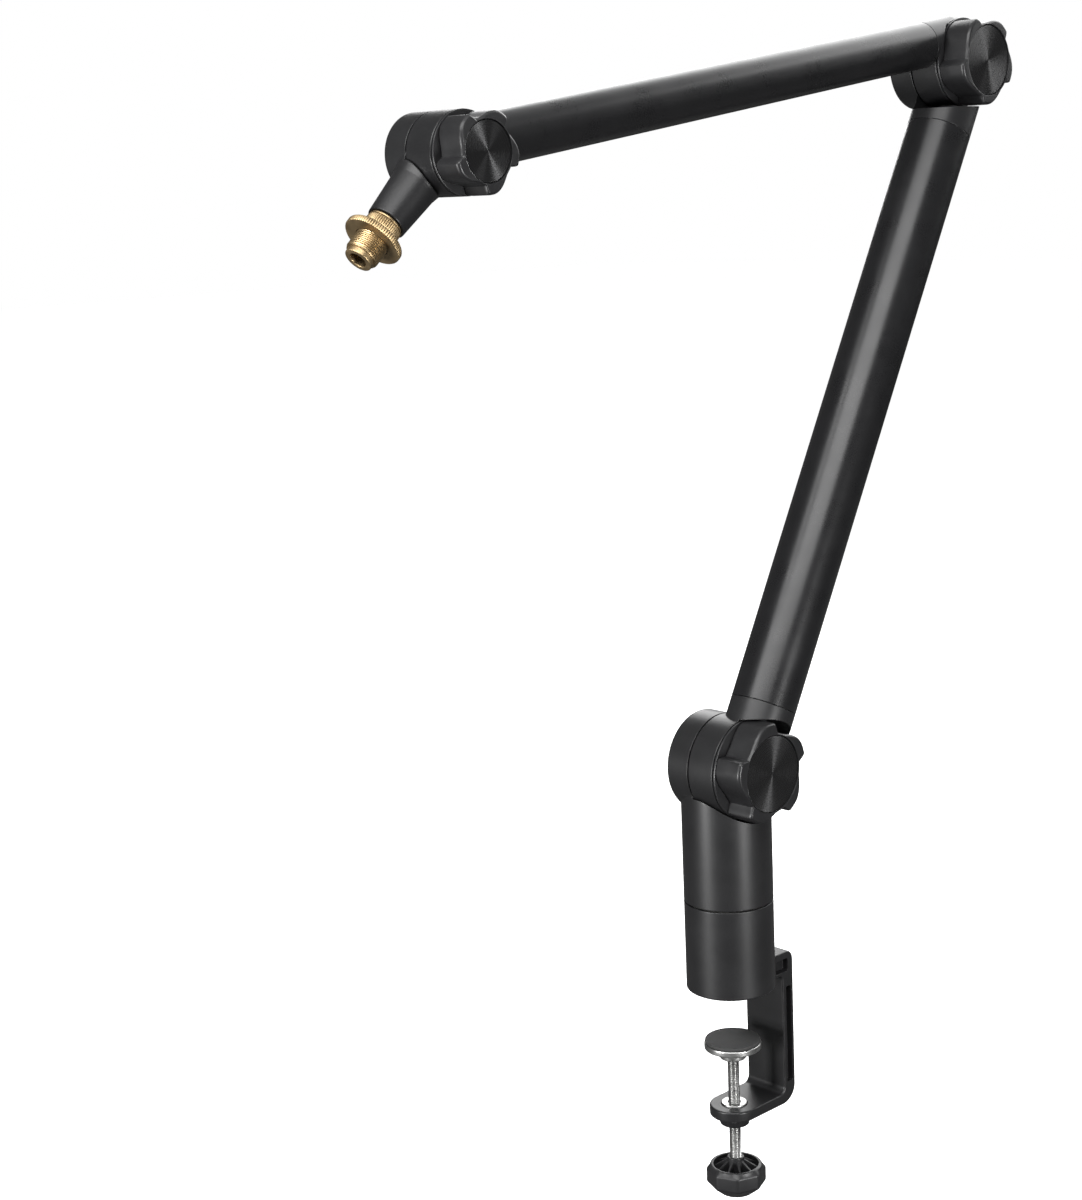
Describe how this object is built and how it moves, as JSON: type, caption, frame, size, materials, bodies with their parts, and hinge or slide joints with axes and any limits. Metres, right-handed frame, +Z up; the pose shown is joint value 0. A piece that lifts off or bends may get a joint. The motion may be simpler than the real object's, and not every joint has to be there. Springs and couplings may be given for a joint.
{
  "type": "desk-clamp microphone boom arm",
  "caption": "Jointed boom arm on a desk clamp that holds a microphone over a desk, with hand-tightened friction hinges and a threaded microphone stud.",
  "frame": {"origin": "centre of the rubber foot under the riser, on the plane of the desk's top face; the riser's swivel axis is +Z through it", "axes": "+Z up along the riser; +X along every hinge axis towards the knobs; +Y towards the clamp's spine, behind the desk's edge, so the upper arm reaches over the desk towards -Y"},
  "size_m": [0.0575, 0.4492, 0.6307],
  "materials": {
    "body": "satin black powder coat on die-cast metal",
    "tube": "satin black coated tube",
    "knob": "matte black moulded plastic",
    "face": "black spun metal with fine concentric turning",
    "steel": "bright zinc-plated steel",
    "brass": "bright brass, knurled and threaded",
    "rubber": "matte black rubber",
    "nylon": "natural nylon"
  },
  "bodies": {
    "clamp": {"clamp_frame": "body", "riser_lower": "body", "desk_foot": "rubber", "frame_screw_left": "steel", "frame_screw_right": "steel", "jaw_nut": "steel", "swivel_bush": "nylon"},
    "pressure_pad": {"pad_plate": "steel", "pad_rubber": "rubber"},
    "clamp_screw": {"clamp_screw": "steel", "clamp_knob": "knob"},
    "swivel": {"riser_upper": "body", "swivel_post": "steel", "swivel_nut": "steel", "swivel_washer": "nylon", "base_bolt": "steel", "base_cap": "knob"},
    "base_knob": {"base_knob": "knob", "base_knob_face": "face", "base_knob_nut": "steel"},
    "lower_arm": {"lower_knuckle": "body", "base_friction_disc": "nylon", "lower_tube": "tube", "lower_fork": "body", "elbow_bolt": "steel", "elbow_cap": "knob"},
    "elbow_knob": {"elbow_knob": "knob", "elbow_knob_face": "face", "elbow_knob_nut": "steel"},
    "upper_arm": {"upper_knuckle": "body", "elbow_friction_disc": "nylon", "upper_tube": "tube", "head_knuckle": "body"},
    "head": {"head_stub": "body", "head_bolt": "steel", "head_cap": "knob", "head_friction_disc": "nylon", "mic_stud": "brass"},
    "head_knob": {"head_knob": "knob", "head_knob_face": "face", "head_knob_nut": "steel"},
    "nut_slide": {"nut_washer": "brass"},
    "lock_nut": {"lock_nut": "brass"}
  },
  "joints": [
    {"name": "pad_slide", "type": "slide", "parent": "clamp", "child": "pressure_pad", "axis": [0, 0, 1], "range_m": [-0.025, 0.019]},
    {"name": "screw_turn", "type": "hinge", "parent": "pressure_pad", "child": "clamp_screw", "pos_m": [0, 0, -0.1], "axis": [0, 0, 1], "continuous": true},
    {"name": "base_swivel", "type": "hinge", "parent": "clamp", "child": "swivel", "pos_m": [0, 0, 0.05], "axis": [0, 0, 1], "continuous": true},
    {"name": "base_tilt", "type": "hinge", "parent": "swivel", "child": "lower_arm", "pos_m": [-0.002, 0, 0.1245], "axis": [1, 0, 0], "range_deg": [-45, 100]},
    {"name": "elbow", "type": "hinge", "parent": "lower_arm", "child": "upper_arm", "pos_m": [-0.002, 0.19485, 0.48638], "axis": [1, 0, 0], "range_deg": [-120, 10]},
    {"name": "head_tilt", "type": "hinge", "parent": "upper_arm", "child": "head", "pos_m": [-0.002, -0.17682, 0.44469], "axis": [1, 0, 0], "range_deg": [-125, 75]},
    {"name": "base_knob_turn", "type": "hinge", "parent": "swivel", "child": "base_knob", "pos_m": [-0.002, 0, 0.1245], "axis": [1, 0, 0], "range_deg": [-30, 330]},
    {"name": "elbow_knob_turn", "type": "hinge", "parent": "lower_arm", "child": "elbow_knob", "pos_m": [-0.002, 0.19485, 0.48638], "axis": [1, 0, 0], "range_deg": [-30, 330]},
    {"name": "head_knob_turn", "type": "hinge", "parent": "head", "child": "head_knob", "pos_m": [-0.002, -0.17682, 0.44469], "axis": [1, 0, 0], "range_deg": [-30, 330]},
    {"name": "nut_slide", "type": "slide", "parent": "head", "child": "nut_slide", "axis": [0, -0.7431, -0.6691], "range_m": [0, 0.0085]},
    {"name": "nut_turn", "type": "hinge", "parent": "nut_slide", "child": "lock_nut", "pos_m": [-0.002, -0.21621, 0.40922], "axis": [0, -0.7431, -0.6691], "continuous": true}
  ],
  "couplings": [
    {"joint": "screw_turn", "follows": "pad_slide", "rad_per_m": 6283.2},
    {"joint": "nut_turn", "follows": "nut_slide", "rad_per_m": 6679}
  ]
}
